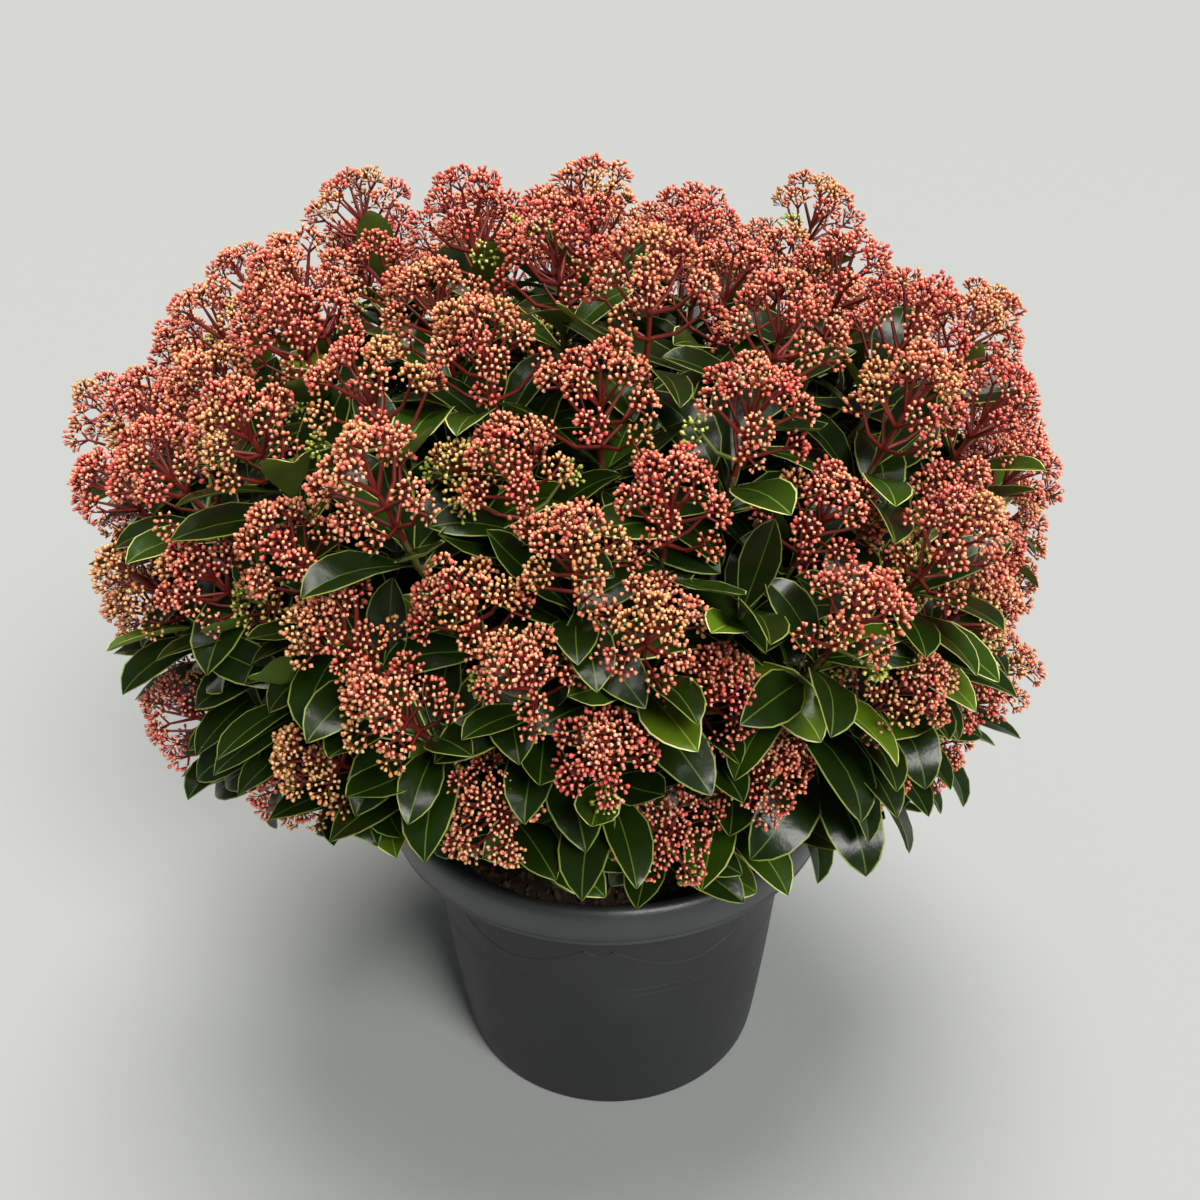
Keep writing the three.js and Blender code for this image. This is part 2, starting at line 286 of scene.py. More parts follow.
def dealShapes(add, start, inputs):  # one to each point, as real geometry
    shapes = add("GeometryNodeCollectionInfo", {
        "Collection": start["Shapes"], "Separate Children": True, "Reset Children": True,
    })
    dealt = add("GeometryNodeInstanceOnPoints", {"Instance": shapes, "Pick Instance": True, **inputs})
    return add("GeometryNodeRealizeInstances", {"Geometry": dealt})


def sprayTree(finishCount):  # shapes on points that say how each one lies
    labels = [f"Finish {k + 1}" for k in range(finishCount)]
    tree, add, start = newTree("sprays", {**dealSockets, **dict.fromkeys(labels, "Material")})
    turned = add("FunctionNodeAxesToRotation", {
        "Primary Axis": readField(add, "along"), "Secondary Axis": readField(add, "facing"),
    }, primary_axis="Y", secondary_axis="Z")
    sizes = {0: readField(add, "size"), 1: anySize(add, start)}
    last = dealShapes(add, start, {
        "Points": start["Geometry"], "Instance Index": readField(add, "form"),
        "Rotation": turned, "Scale": add("ShaderNodeMath", sizes, operation="MULTIPLY"),
    })
    part = readField(add, "part")
    for k, label in enumerate(labels):
        chosen = add("FunctionNodeCompare", {2: part, 3: k}, data_type="INT", operation="EQUAL")
        last = dress(add, last, start[label], chosen)
    add("NodeGroupOutput", {"Geometry": last})
    return tree


def crumbTree():  # crumbs strewn over what faces up, on top of the bed itself
    sockets = {"Density": "Float", "Steepest": "Float", "Bed Finish": "Material", "Crumb Finish": "Material"}
    tree, add, start = newTree("strewnCrumbs", {**dealSockets, **sockets})
    level = add("ShaderNodeSeparateXYZ", {"Vector": add("GeometryNodeInputNormal")})
    upward = add("FunctionNodeCompare", {
        0: level.outputs["Z"], 1: start["Steepest"],
    }, operation="GREATER_THAN")
    strewn = add("GeometryNodeDistributePointsOnFaces", {
        "Mesh": start["Geometry"], "Selection": upward, "Density": start["Density"], "Seed": start["Seed"],
    })
    turn = add("FunctionNodeRandomValue", {
        0: (0, 0, 0), 1: (6.28, 6.28, 6.28), "Seed": start["Seed"],
    }, data_type="FLOAT_VECTOR")
    crumbs = dealShapes(add, start, {"Points": strewn, "Rotation": turn, "Scale": anySize(add, start)})
    both = add("GeometryNodeJoinGeometry")
    for geometry, label in ((start["Geometry"], "Bed Finish"), (crumbs, "Crumb Finish")):
        plug(both, {"Geometry": dress(add, geometry, start[label])})
    add("NodeGroupOutput", {"Geometry": both})
    return tree


def settleMesh(piece):  # what the modifiers make of it, as its own plain mesh
    graph = bpy.context.evaluated_depsgraph_get()
    made = bpy.data.meshes.new_from_object(
        piece.evaluated_get(graph), preserve_all_data_layers=True, depsgraph=graph)
    piece.modifiers.clear()
    piece.data = made
    return made


def runTree(name, mesh, tree, values):  # the tree's result as a plain mesh
    piece = addObject(name, mesh)
    modifier = piece.modifiers.new(tree.name, "NODES")
    modifier.node_group = tree
    for item in tree.interface.items_tree:
        if item.in_out == "INPUT" and item.name in values:
            modifier[item.identifier] = values[item.name]
    made = settleMesh(piece)
    made.name = name
    for spent in fields:
        if spent in made.attributes:
            made.attributes.remove(made.attributes[spent])
    return piece


def newShapes(name, meshes):  # kept off the scene, and dealt out in this order
    shelf = bpy.data.collections.new(name)
    for k, mesh in enumerate(meshes):
        shelf.objects.link(bpy.data.objects.new(f"{name}{k:02d}", mesh))
    return shelf


def clearShapes(shelf):
    for shape in list(shelf.objects):
        bpy.data.objects.remove(shape)
    bpy.data.collections.remove(shelf)


def dealPieces(word, kind, makeShape, fillRow, rowsOfTints):
    shapes = newShapes(word, [makeShape(f"{word}Shape{k}", *form) for k, form in enumerate(kind["forms"])])
    tree = sprayTree(len(kind["parts"]))
    smallest, largest = kind["spread"]
    pieces = []
    for tint, rows in rowsOfTints.items():
        parts = zip(kind["parts"], kind["tints"][tint], kind["roughness"])
        finishes = {
            f"Finish {k}": newFinish(tint + part, kind["grain"], [colour], [roughness], kind["sheen"])
            for k, (part, colour, roughness) in enumerate(parts, 1)
        }
        count = ceil(len(rows) / kind["perPiece"])
        for k in range(count):
            share = rows[len(rows) * k // count: len(rows) * (k + 1) // count]
            places, *columns = zip(*(fillRow(i, *row) for i, row in enumerate(share)))
            mesh = newMesh(word, places)
            for label, column in zip(("along", "facing", "size", "form"), columns):
                writeField(mesh, label, column)
            pieces.append(runTree(f"{tint}{word}{k + 1}", mesh, tree, {
                "Shapes": shapes, "Smallest": smallest, "Largest": largest, "Seed": kind["seed"], **finishes,
            }))
    clearShapes(shapes)
    print(word.lower(), {tint: len(rows) for tint, rows in rowsOfTints.items()})
    return pieces


# How the crown grows, by the rule of the part's own source

crown = {
    "halfWidth": 0.268,
    "halfDepth": 0.222,
    "middle": Vector((-0.017, 0.012, 0.398)),  # at its widest level
    "rise": 0.162,
    "skirtDepth": 0.290,
    "skirtPolar": 122,  # degrees round the egg that the heads go
    "frontTuck": 12,
    "firstTurn": 5.23,
    "tipScatter": 0.020,
    "heart": Vector((0, 0, 0.222)),  # where all the boughs spring from
    "masses": 18,
    "shoots": 140,
    "boughShare": 0.4,
    "massStem": 0.014,
    "twigStart": 0.6,  # along the mass's stem
    "upturn": 0.45,
    "upturnTries": (1, 0.75, 0.5, 0.25, 0),  # shares of it
    "twigDrops": (0.025, 0.045, 0.065, 0.085),
    "twigShares": (0.3, 0.5, 0.7, 0.85),  # along a twig, where it needs room
    "twigRadius": 0.0021,
    "headLength": 0.064,
    "headRadius": 0.028,
    "headVariety": 0.1,
    "spaceMargin": 0.001,
    "rimMargin": 0.005,
    "lowestLeaf": 0.190,
    # shoots with leaves and few buds, between and under the others
    "fillers": 84,
    "fillerTurn": 1.9,
    "fillerDepth": (0.03, 0.07),
}
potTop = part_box("pot")[1].z
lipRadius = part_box("pot")[1].x
heart = crown["heart"]

# what goes by a number only, and its channel of chance
channels = {
    "tipReach": 113, "fillerDepth": 21, "boughBow": 5, "headTurn": 2, "headRadius": 3, "warmth": 6,
    "leafyShoot": 43, "fillerHead": 7, "budForm": 9, "plumpBud": 10, "leafTurn": 4,
    "crumbLength": 31, "crumbLump": 32,
}


def dice(index, what):  # from 0 to 1, and the same each time
    wave = sin(index * 12.9898 + channels[what] * 78.233) * 43758.5453
    return wave - floor(wave)


def scatter(index, what, reach):
    return (dice(index, what) * 2 - 1) * reach


def crownSpiral(count, firstTurn):
    points = []
    for i in range(count):
        turn = firstTurn + i * goldenAngle
        lowest = radians(crown["skirtPolar"] - crown["frontTuck"] * max(0, -sin(turn)))
        polar = acos(1 - (1 - cos(lowest)) * (i + 0.5) / count)
        girth = sin(polar)
        height = crown["rise"] if cos(polar) > 0 else crown["skirtDepth"]
        points.append(crown["middle"] + Vector((
            crown["halfWidth"] * girth * cos(turn),
            crown["halfDepth"] * girth * sin(turn),
            height * cos(polar),
        )))
    return points


def dealShoots():
    centres = [(point - heart).normalized() for point in crownSpiral(crown["masses"], crown["firstTurn"])]
    skins = []
    for i, skin in enumerate(crownSpiral(crown["shoots"], crown["firstTurn"])):
        skins.append((skin, scatter(i, "tipReach", crown["tipScatter"])))
    for i, skin in enumerate(crownSpiral(crown["fillers"], crown["fillerTurn"])):
        skins.append((skin, -between(*crown["fillerDepth"], dice(i, "fillerDepth"))))
    found = []
    for index, (skin, reach) in enumerate(skins):
        facing = (skin - heart).normalized()
        mass = max(range(crown["masses"]), key=lambda m: centres[m].dot(facing))
        found.append({"index": index, "tip": skin + facing * reach, "facing": facing, "mass": mass})
    return found


shoots = dealShoots()
mainShoots = shoots[:crown["shoots"]]
facings = np.array([shoot["facing"] for shoot in mainShoots])
owners = np.array([shoot["mass"] for shoot in mainShoots])
masses = []
for m in range(crown["masses"]):
    own = [shoot for shoot in mainShoots if shoot["mass"] == m]
    middle = sum((shoot["facing"] for shoot in own), Vector()).normalized()
    reach = sum((shoot["tip"] - heart).length for shoot in own) / len(own)
    masses.append({"index": m, "facing": middle, "boughEnd": heart + middle * reach * crown["boughShare"]})


def depthInSpace(point, mass):  # how far inside the mass's own cone of directions a point lies
    along = facings @ np.array(point - heart)
    own = np.where(owners == mass, along, -np.inf).argmax()
    other = np.where(owners == mass, -np.inf, along).argmax()
    return (along[own] - along[other]) / np.linalg.norm(facings[own] - facings[other])


def isOffPot(point):
    return point.z > potTop + crown["rimMargin"] or point.xy.length > lipRadius + crown["rimMargin"]


def hasRoom(points, mass):
    for point in points:
        pastBough = (point - mass["boughEnd"]).dot(mass["facing"]) > crown["massStem"] / 2
        if not pastBough or not isOffPot(point) or point.z < crown["lowestLeaf"]:
            return False
        if depthInSpace(point, mass["index"]) < crown["spaceMargin"] + crown["twigRadius"]:
            return False
    return True


def shootLine(shoot, mass, upturn, drop):
    axis = (shoot["facing"] + up * upturn).normalized()
    foot = shoot["tip"] - axis * crown["headLength"]
    start = mass["boughEnd"] + mass["facing"] * crown["massStem"] * crown["twigStart"]
    return {"axis": axis, "foot": foot, "bend": foot - axis * drop, "start": start}


def settleShoot(shoot):  # as upright as its mass's space allows
    mass = masses[shoot["mass"]]
    for share, drop in itertools.product(crown["upturnTries"], crown["twigDrops"]):
        line = shootLine(shoot, mass, crown["upturn"] * share, drop)
        way = [line["start"].lerp(line["bend"], along) for along in crown["twigShares"]]
        if hasRoom([line["foot"], line["bend"], *way], mass):
            return line
    return shootLine(shoot, mass, 0, crown["twigDrops"][0])


# Heads of buds

heads = {
    "seed": 400,
    # sprays, where they leave the axis, level and reach of their ends, buds, spray's radius
    "tiers": (
        (1, 0.60, 0.86, 0.00, 31, 0.0085),
        (4, 0.48, 0.79, 0.40, 30, 0.0085),
        (5, 0.34, 0.62, 0.72, 29, 0.0085),
        (4, 0.14, 0.42, 0.84, 18, 0.0078),
    ),
    "tierTurn": 5,  # radians for each length of the head
    "turnJitter": 0.22,
    "levelJitter": 0.05,
    "outJitter": (0.90, 1.06),
    "openness": 0.86,
    "openerOnTop": 0.24,
    "openJitter": (-0.08, 0.10),
    "fullerOnTop": 0.16,  # how many more buds a spray has there
    "lowTightness": 0.98,  # of the sprays' radius, in the lower crown
    "topFrom": 0.38,  # level where the lower crown ends, and how much higher its top begins
    "topSpan": 0.1,
    "fewerWhenSmall": 1.6,  # powers of a head's size, for its buds and its sprays' radius
    "tighterWhenSmall": 0.4,
    "capPolar": 86,  # degrees round a spray that its buds go
    "budReach": (0.84, 1.08),  # of its radius
    "arms": 3,  # that a spray forks into
    "armPolar": 62,
    "armLength": 0.72,
    "axisRoot": 0.01,  # how far down its twig the axis starts
    "axisSteps": (0.12, 0.62),  # along the head
    "axisRadius": 0.0018,
    "branchRadius": 0.0011,
    "branchSag": 0.1,
    "armRadius": 0.0006,
    "leafyShare": 0.12,  # of the middle crown's main shoots, that bear no head
    "leafyFrom": 0.29,
    "fillerShare": 0.32,  # of the filler shoots that carry a small head
    "fillerSize": 0.62,
    # tints of the heads, and what a spray of it may turn to
    "tints": (
        ("crimson", "rose", "rose"), ("rose", "crimson", "coral"), ("rose", "coral", "rose"),
        ("rose", "coral", "amber"), ("coral", "rose", "amber"), ("coral", "amber", "rose"),
        ("amber", "coral", "straw"),
    ),
    "smallTints": (("lime", "straw"), ("straw", "amber", "lime"), ("coral", "amber", "straw")),
    "warmByLevel": 0.28,  # share of the choice of tint; amber comes lower
    "warmBelow": 0.56,
    "warmSpan": 0.3,
    "mainShare": 0.6,  # of the sprays that keep their head's own tint
    "limeShare": 0.14,  # of the low sprays that are still green
    "limeBelow": 0.2,
}
bud = {
    # stalk, body, blush and tip of each tint
    "tints": {
        "crimson": ((132, 40, 36), (220, 72, 66), (235, 129, 107), (250, 186, 148)),
        "rose": ((138, 48, 40), (228, 92, 80), (240, 147, 118), (252, 202, 156)),
        "coral": ((144, 62, 46), (234, 118, 90), (244, 166, 126), (254, 214, 162)),
        "amber": ((140, 82, 52), (226, 148, 94), (239, 181, 122), (252, 214, 150)),
        "straw": ((142, 122, 60), (218, 186, 98), (234, 208, 124), (250, 230, 150)),
        "lime": ((122, 142, 54), (180, 196, 80), (208, 217, 108), (236, 238, 136)),
    },
    "parts": ("Stalk", "Body", "Blush", "Tip"),
    "roughness": (0.42, 0.42, 0.42, 0.42),
    "grain": "plain",
    "sheen": 0.5,
    "stalk": 0.0034,
    "neckRadius": 0.0005,
    "bellyLevel": 0.46,  # of its height
    "capLevel": 0.86,
    # height, radius, lean, width of its flat end, part of its upper sides, part of its end
    "forms": (
        (0.0020, 0.00091, 0.00, 0.88, 2, 3),
        (0.0019, 0.00087, 0.12, 0.78, 2, 3),
        (0.0024, 0.00112, 0.04, 0.80, 1, 2),
    ),
    "plumpShare": 0.17,  # of the buds that have the last form, red all over
    "spread": (0.86, 1.16),  # of their sizes
    "seed": 8,
    "perPiece": 10500,
}


def budMesh(name, height, radius, lean, capGirth, upperPart, endPart):
    # a pole, a three-sided neck, a four-sided belly and a flat three-sided cap
    rings = (
        (3, bud["stalk"], bud["neckRadius"], 0),
        (4, bud["stalk"] + height * bud["bellyLevel"], radius, 0),
        (3, bud["stalk"] + height * bud["capLevel"], radius * capGirth, 0),
    )
    shape = newSkin()

    def place(level, radius, turn):
        return shape.verts.new((radius * cos(turn) + lean * level, level, radius * sin(turn)))

    foot = place(0, 0, 0)
    neck, belly, cap = [[place(level, radius, first + tau * k / sides) for k in range(sides)]
                        for sides, level, radius, first in rings]
    for k in range(3):
        addFace(shape, (foot, neck[k], neck[(k + 1) % 3]), 0)
    addFace(shape, cap, endPart)
    for few, part in ((neck, 1), (cap, upperPart)):  # three corners meet four
        for k, corner in enumerate((0, 1, 2, 2)):  # the corner that each of the four edges ends on
            addFace(shape, (few[corner], belly[k], belly[(k + 1) % 4]), part)
        for corner, shared in ((0, 1), (1, 2), (2, 0)):
            addFace(shape, (few[corner], belly[shared], few[(corner + 1) % 3]), part)
    return meshFrom(shape, name)


def newSkin():
    shape = bmesh.new()
    shape.faces.layers.int.new("part")
    return shape


def addFace(shape, corners, part):
    face = shape.faces.new(corners)
    face[shape.faces.layers.int["part"]] = part
    face.smooth = True


def meshFrom(shape, name):
    bmesh.ops.recalc_face_normals(shape, faces=shape.faces)
    mesh = bpy.data.meshes.new(name)
    shape.to_mesh(mesh)
    shape.free()
    return mesh


limbs = {"red": [], "green": [], "twig": []}  # points and radii of each
buds = {tint: [] for tint in bud["tints"]}  # foot, direction
headPlaces = []  # middle of each head, for the leaves to keep clear of


def sideOf(axis, turn):
    across = Vector((axis.y, -axis.x, 0)).normalized()
    return Matrix.Rotation(turn, 3, axis) @ across


def capPoints(direction, count, polar, firstTurn):  # directions dealt evenly over a cap
    found = []
    for i in range(count):
        lean = acos(1 - (1 - cos(radians(polar))) * (i + 0.5) / count)
        side = sideOf(direction, firstTurn + i * goldenAngle)
        found.append(direction * cos(lean) + side * sin(lean))
    return found


def addStalk(tint, points, radius, shares):
    limbs["green" if tint == "lime" else "red"].append((points, [radius * share for share in shares]))


def growSpray(centre, direction, count, radius, tint, rand):
    foot = centre - direction * radius * 0.5
    arms = []
    for way in capPoints(direction, heads["arms"], heads["armPolar"], rand.uniform(0, 6)):
        arms.append(foot + way * radius * heads["armLength"])
        addStalk(tint, [foot, arms[-1]], heads["armRadius"], (1.3, 1))
    length = bud["stalk"] + bud["forms"][0][0]
    for way in capPoints(direction, count, heads["capPolar"], rand.uniform(0, 6)):
        top = centre + way * radius * rand.uniform(*heads["budReach"])
        arm = min(arms, key=lambda end: (top - end).length_squared)
        along = (top - arm).normalized()
        buds[tint].append((top - along * length, along))


def heightShare(point):  # 0 in the lower crown, 1 near its top
    return clamp((point.z - heads["topFrom"]) / heads["topSpan"])


def growHead(line, index, size):
    rand = random.Random(heads["seed"] + index)
    axis = line["axis"]
    length = crown["headLength"] * size
    radius = crown["headRadius"] * (1 + scatter(index, "headRadius", crown["headVariety"])) * size
    foot = line["foot"] + axis * (crown["headLength"] - length)
    high = heightShare(foot)
    firstTurn = dice(index, "headTurn") * pi
    choice = heads["tints"] if size == 1 else heads["smallTints"]
    byLevel = heads["warmByLevel"]
    lowness = clamp((heads["warmBelow"] - foot.z) / heads["warmSpan"])
    warmth = dice(index, "warmth") * (1 - byLevel) + byLevel * lowness
    own, *others = choice[min(int(warmth * len(choice)), len(choice) - 1)]
    openness = heads["openness"] + heads["openerOnTop"] * high + rand.uniform(*heads["openJitter"])
    fullness = size ** heads["fewerWhenSmall"] * (1 + heads["fullerOnTop"] * high)
    tightness = between(heads["lowTightness"], 1, high) * size ** heads["tighterWhenSmall"]
    thick = heads["axisRadius"] * (0.5 + size / 2)

    def onAxis(share):
        return foot + axis * length * share

    steps = [onAxis(share) for share in heads["axisSteps"]]
    addStalk("", [line["foot"] - axis * heads["axisRoot"], *steps], thick, (1, 0.9, 0.6))
    for sprays, fork, end, out, count, sprayRadius in heads["tiers"]:
        for j in range(sprays):
            turn = (j + rand.uniform(-heads["turnJitter"], heads["turnJitter"])) / sprays * tau
            side = sideOf(axis, firstTurn + turn + end * heads["tierTurn"])
            level = end + rand.uniform(-heads["levelJitter"], heads["levelJitter"])
            reach = side * radius * out * openness * rand.uniform(*heads["outJitter"])
            centre = onAxis(level) + reach
            start = onAxis(fork)
            middle = start.lerp(centre, 0.5) + (side * 0.5 - axis) * radius * heads["branchSag"]
            direction = (centre - onAxis(fork * 0.8)).normalized()
            tint = own if rand.random() < heads["mainShare"] else rand.choice(others)
            if fork < heads["limeBelow"] and rand.random() < heads["limeShare"]:
                tint = "lime"
            inSpray = centre - direction * sprayRadius * 0.5
            addStalk(tint, [start, middle, inSpray], heads["branchRadius"], (1.2, 1, 0.7))
            growSpray(centre, direction, round(count * fullness), sprayRadius * tightness, tint, rand)
    headPlaces.append((onAxis(0.6), radius))


def budRow(i, foot, along):  # facing, size and form added
    form = 2 if dice(i, "plumpBud") < bud["plumpShare"] else int(dice(i, "budForm") * 2)
    return foot, along, along.orthogonal(), 1.0, form


# Leaves

leaf = {
    # blade, back, midrib and edge of each tint
    "tints": {
        "deep": ((22, 39, 5), (84, 108, 38), (76, 100, 32), (132, 146, 66)),
        "mid": ((42, 66, 9), (98, 124, 46), (104, 128, 46), (204, 208, 126)),
        "fresh": ((84, 110, 20), (122, 148, 52), (140, 162, 66), (232, 230, 160)),
    },
    "tintShares": (0.78, 0.15, 0.07),
    "parts": ("Blade", "Back", "Rib", "Edge"),
    "roughness": (0.28, 0.6, 0.4, 0.4),
    "grain": "leaf",
    "sheen": 0.3,
    "length": 0.066,
    "width": 0.0255,
    "widest": 0.58,  # of its length from its root
    "slenderness": 1.15,  # of its lower half
    "fullness": 2.7,  # the more, the blunter its upper half
    "thickness": 0.0008,
    "stations": (0, 0.14, 0.33, 0.51, 0.67, 0.81, 0.90, 0.96, 1),
    "straight": 0.2,  # of its length, before it begins to bend
    "petiole": 0.0008,  # half width of its stalk
    "edge": 0.0008,
    "rib": 0.00035,  # half width
    "lineShare": 0.3,  # the most of its half width that rib or edge may take
    "keelCurve": (1.9, 1.1),
    "ripple": (15, 1.5),  # radians along it, and one side's lead on the other
    # bend, keel, twist, wave of each form; degrees, share, degrees, metres
    "forms": (
        (30, 0.22, 8, 0.0004), (52, 0.26, -12, 0.0006), (14, 0.36, 14, 0.0003),
        (-12, 0.20, -6, 0.0005), (70, 0.18, 16, 0.0005), (40, 0.40, -18, 0.0004),
    ),
    "upperForms": (0, 0, 1, 2, 3, 5),  # of a shoot's upper leaves, then of its lower ones
    "lowerForms": (0, 1, 1, 4, 4, 5),
    "growSeed": 9000,
    "perShoot": 11,
    "fewerOnTop": 5,
    "perFiller": 8,
    "fillerSize": 0.9,
    "firstDrop": 0.0020,  # from the head's foot to the first leaf
    "step": 0.0050,
    "rooted": 0.001,  # how deep its stalk starts
    "lean": (38, 84),  # degrees from the twig, of the highest and the lowest leaf
    "leanOnTop": 12,  # how much more near the crown's top
    "leanJitter": 6,
    "size": (0.80, 1.10),  # of the highest and the lowest leaf
    "sizeJitter": (0.86, 1.10),
    "rollJitter": 18,
    "upturn": 0.55,  # how far its face turns to the light
    "leanTries": (0, -9, 9, -18, 18, 27),  # degrees more, till it has room
    "turnTries": (0, 24, -24, 48, -48),
    "lowest": 0.198,
    "openTurn": -20,  # degrees round from the front, where the lip shows most
    "openFrom": 0.115,  # out from this radius, leaves stay higher there
    "openRise": 0.9,
    "lowestSlope": -0.06,  # no leaf starts out steeper
    "clearOfLeaves": 0.0050,
    "headRoom": 0.96,  # of a head's radius, that it keeps clear of
    "worstRoom": -0.006,  # with less, it isn't grown
    "spread": (0.97, 1.03),
    "seed": 8,
    "perPiece": 1200,
}


def leafWidthAt(share):  # half width; it narrows to a stalk at its foot and to a point
    widest = leaf["widest"]
    if share < widest:
        girth = sin(pi / 2 * (share / widest) ** leaf["slenderness"])
    else:
        girth = 1 - ((share - widest) / (1 - widest)) ** leaf["fullness"]
    return max(leaf["width"] / 2 * girth, leaf["petiole"])


def leafMesh(name, bend, keel, twist, wave):
    shape = newSkin()
    rise, easing = leaf["keelCurve"]
    ripples, ahead = leaf["ripple"]
    made = []
    place = Vector((0, 0, 0))
    last = 0
    for share in leaf["stations"]:
        curl = radians(bend) * max(0, (share - leaf["straight"]) / (1 - leaf["straight"])) ** 2
        along = Vector((0, cos(curl), -sin(curl)))
        place = place + along * (share - last) * leaf["length"]
        last = share
        if share == 1:
            break
        half = leafWidthAt(share)
        turn = radians(twist) * share
        normal = Matrix.Rotation(turn, 3, along) @ along.cross(Vector((-1, 0, 0))).normalized()
        across = along.cross(normal).normalized()
        rib = min(leaf["rib"], half * leaf["lineShare"])
        inner = half - min(leaf["edge"], half * leaf["lineShare"])
        row = []
        for x in (-half, -inner, -rib, rib, inner, half):
            outness = abs(x) / half
            lift = keel * half * (rise * outness - easing * outness ** 2)
            waving = wave * sin(share * ripples + (ahead if x > 0 else 0)) * outness ** 2
            row.append(shape.verts.new(place + across * x + normal * (lift + waving)))
        row.append(shape.verts.new(place - normal * leaf["thickness"]))
        made.append(row)
    tip = shape.verts.new(place)
    partOf = (3, 0, 2, 0, 3, 1, 1)  # edge, blade, rib, blade, edge, back, back
    sides = [(k, (k + 1) % 7, part) for k, part in enumerate(partOf)]
    for row, after in zip(made, made[1:]):
        for a, b, part in sides:  # split so that blade and back stay apart
            if b in (2, 6):
                addFace(shape, (row[b], after[b], after[a]), part)
                addFace(shape, (row[b], after[a], row[a]), part)
            else:
                addFace(shape, (row[a], row[b], after[b]), part)
                addFace(shape, (row[a], after[b], after[a]), part)
    for a, b, part in sides:
        addFace(shape, (made[-1][a], made[-1][b], tip), part)
    addFace(shape, made[0][::-1], 2)
    for row, after in zip(made, made[1:] + [[tip] * 7]):
        for a in (0, 5):  # its margins stay crisp
            shape.edges.get((row[a], after[a])).smooth = False
    return meshFrom(shape, name)


leaves = {tint: [] for tint in leaf["tints"]}  # root, along, facing, size, form
# the leaves grown so far: frames are across, along and face, ways run along the midrib;
# rows that are still empty lie far away
rowShapes = {"frames": (3, 3), "roots": (3,), "lengths": (), "bends": (), "ways": (4, 3)}
grown = {"count": 0, **{key: np.full((4000, *shape), 9.0) for key, shape in rowShapes.items()}}
outlineShares = np.linspace(0, 1, 41)
outlineHalves = np.array([leafWidthAt(share) for share in outlineShares]) / leaf["length"]


def sagAt(share, bend):  # how far a leaf has curled down there, to its length
    return bend * np.clip(share - leaf["straight"], 0, None) ** 3 / (3 * (1 - leaf["straight"]) ** 2)


def leafWay(root, along, face, length, bend):  # points along its midrib
    sags = [(share, float(sagAt(share, bend))) for share in (0.4, 0.7, 0.88, 1)]
    return [root + along * length * share - face * length * sag for share, sag in sags]


def passThrough(ways, blades):  # whether a way crosses the blade in its own row
    lengths, bends = blades["lengths"][:, None], blades["bends"][:, None]
    local = np.einsum("nij,npj->npi", blades["frames"], ways - blades["roots"][:, None]) / lengths[:, None]
    across, along, height = np.moveaxis(local, 2, 0)
    height = height + sagAt(along, bends)
    share = height[:, :-1] / (height[:, :-1] - height[:, 1:] + 1e-9)
    crossAcross = across[:, :-1] + np.diff(across) * share
    crossAlong = along[:, :-1] + np.diff(along) * share
    halves = np.interp(crossAlong, outlineShares, outlineHalves, left=0, right=0)
    return bool(((abs(crossAcross) < halves) & (share > 0) & (share < 1)).any())


def crossesLeaves(new, near):  # its midrib through their blades, or theirs through its own
    if not len(near):
        return False
    own = {key: np.repeat([value], len(near), axis=0) for key, value in new.items()}
    others = {key: grown[key][near] for key in new}
    return passThrough(own["ways"], others) or passThrough(others["ways"], own)


openWay = Vector((sin(radians(leaf["openTurn"])), -cos(radians(leaf["openTurn"]))))


def isWithinReach(point):  # of the crown, off the pot, and clear of its lip in front
    low, high = cadBox
    girth = point.xy.length
    openness = max(0, point.xy.dot(openWay) / girth) ** 3
    lowest = leaf["lowest"] + leaf["openRise"] * openness * max(0, girth - leaf["openFrom"])
    return isOffPot(point) and point.z > lowest and low.x < point.x < high.x and low.y < point.y < high.y


def clearance(points):  # from the heads and the other leaves; -1 where a leaf can't be
    if not all(isWithinReach(point) for point in points):
        return -1
    spots = np.array([point[:] for point in points])[:, None]
    toHeads = np.sqrt(((spots - headMiddles) ** 2).sum(axis=2)) - headGirths
    toLeaves = ((spots - grown["ways"][:grown["count"] + 1, 1:].reshape(-1, 3)) ** 2).sum(axis=2)
    return min(toHeads.min(), sqrt(toLeaves.min()) - leaf["clearOfLeaves"])


def leafWays(axis, turn, lean, roll):  # which way it points, and which way its face looks
    side = sideOf(axis, turn)
    along = axis * cos(lean) + side * sin(lean)
    face = axis * sin(lean) - side * cos(lean)
    along.z = max(along.z, leaf["lowestSlope"])
    along.normalize()
    face = Matrix.Rotation(roll, 3, along) @ (face + up * leaf["upturn"])
    return along, (face - along * face.dot(along)).normalized()


def placeLeaf(root, axis, turn, lean, roll, length, bend):
    # the first way with room to spare, or else the roomiest, that crosses no other leaf
    gaps = grown["roots"][:grown["count"]] - np.array(root[:])
    near = np.nonzero((gaps ** 2).sum(axis=1) < (2 * leaf["length"]) ** 2)[0]
    best = None
    for leanMore, turnMore in itertools.product(leaf["leanTries"], leaf["turnTries"]):
        along, face = leafWays(axis, turn + radians(turnMore), radians(lean + leanMore), roll)
        points = leafWay(root, along, face, length, bend)
        room = clearance(points)
        if room < leaf["worstRoom"] or (best and room <= best[0]):
            continue
        new = {
            "ways": [point[:] for point in points], "roots": root[:], "lengths": length, "bends": bend,
            "frames": [along.cross(face)[:], along[:], face[:]],
        }
        if crossesLeaves(new, near):
            continue
        best = (room, along, face, new)
        if room > 0:
            break
    return best


